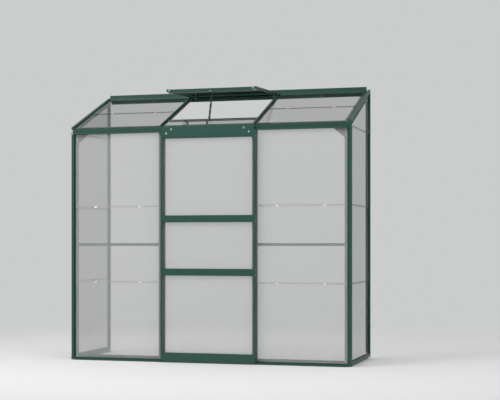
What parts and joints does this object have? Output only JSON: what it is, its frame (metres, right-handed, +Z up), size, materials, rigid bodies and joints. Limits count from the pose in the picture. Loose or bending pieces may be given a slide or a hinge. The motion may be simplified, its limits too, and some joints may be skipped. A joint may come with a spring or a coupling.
{
  "type": "lean to greenhouse",
  "caption": "Lean-to greenhouse of coated aluminium bars and glass that stands against a wall, with a sliding door on overhead wheels and a propped roof vent.",
  "frame": {"origin": "centre of the footprint on the ground, halfway between the door's face and the wall", "axes": "+Z up, +Y towards the wall that it leans on, +X to the right of someone who faces the door"},
  "size_m": [1.93, 0.69, 1.856],
  "materials": {
    "frame_green": "dark green powder coat on extruded aluminium, satin",
    "stay_green": "dark green powder coat on flat bar",
    "glass": "3 mm horticultural glass, ground edges",
    "zinc_steel": "bright zinc plate",
    "spring_steel": "stainless spring strip",
    "wheel_nylon": "black moulded nylon",
    "guide_nylon": "black moulded nylon"
  },
  "bodies": {
    "frame": {"corner_post_left": "frame_green", "corner_post_right": "frame_green", "eave_beam": "frame_green", "frame_bolts": "zinc_steel", "front_bar_left": "frame_green", "front_bar_right": "frame_green", "front_brace_left": "frame_green", "front_brace_right": "frame_green", "front_pane_lower_left": "glass", "front_pane_lower_right": "glass", "front_pane_middle_left": "glass", "front_pane_middle_right": "glass", "front_pane_upper_left": "glass", "front_pane_upper_right": "glass", "front_sill": "frame_green", "gable_panes_left": "glass", "gable_panes_right": "glass", "gable_rafter_left": "frame_green", "gable_rafter_right": "frame_green", "gusset_left": "frame_green", "gusset_right": "frame_green", "lap_clips": "spring_steel", "roof_bar_left": "frame_green", "roof_bar_right": "frame_green", "roof_middle_pane": "glass", "roof_pane_lower_left": "glass", "roof_pane_lower_right": "glass", "roof_pane_upper_left": "glass", "roof_pane_upper_right": "glass", "side_sill_left": "frame_green", "side_sill_right": "frame_green", "stay_pegs": "stay_green", "vent_sill": "frame_green", "wall_plate": "frame_green", "wall_post_left": "frame_green", "wall_post_right": "frame_green"},
    "door": {"door_bottom_rail": "frame_green", "door_guides": "guide_nylon", "door_header": "frame_green", "door_lower_rail": "frame_green", "door_pane_bottom": "glass", "door_pane_middle": "glass", "door_pane_top": "glass", "door_screws": "zinc_steel", "door_stile_left": "frame_green", "door_stile_right": "frame_green", "door_top_rail": "frame_green", "door_upper_rail": "frame_green", "wheel_axles": "zinc_steel"},
    "wheel_left": {"door_wheel_left": "wheel_nylon"},
    "wheel_right": {"door_wheel_right": "wheel_nylon"},
    "vent": {"vent_front_rail": "frame_green", "vent_hinge_rail": "frame_green", "vent_pane": "glass", "vent_side_rail_left": "frame_green", "vent_side_rail_right": "frame_green", "stay_bracket": "stay_green"},
    "stay": {"vent_stay": "stay_green"}
  },
  "joints": [
    {"name": "door_slide", "type": "slide", "parent": "frame", "child": "door", "axis": [1, 0, 0], "range_m": [-0.6, 0.6]},
    {"name": "wheel_left_spin", "type": "hinge", "parent": "door", "child": "wheel_left", "pos_m": [-0.236, -0.315, 1.534], "axis": [0, 1, 0], "range_deg": [-2720, 2720]},
    {"name": "wheel_right_spin", "type": "hinge", "parent": "door", "child": "wheel_right", "pos_m": [0.262, -0.315, 1.534], "axis": [0, 1, 0], "range_deg": [-2720, 2720]},
    {"name": "vent_hinge", "type": "hinge", "parent": "frame", "child": "vent", "pos_m": [0, 0.307, 1.831], "axis": [1, 0, 0], "range_deg": [0, 20.3]},
    {"name": "stay_fold", "type": "hinge", "parent": "vent", "child": "stay", "pos_m": [-0.005, -0.17983, 1.7901], "axis": [1, 0, 0], "range_deg": [0, 81.3]}
  ],
  "couplings": [
    {"joint": "wheel_left_spin", "follows": "door_slide", "rad_per_m": 78.74},
    {"joint": "wheel_right_spin", "follows": "door_slide", "rad_per_m": 78.74},
    {"joint": "stay_fold", "follows": "vent_hinge", "ratio": 4}
  ]
}
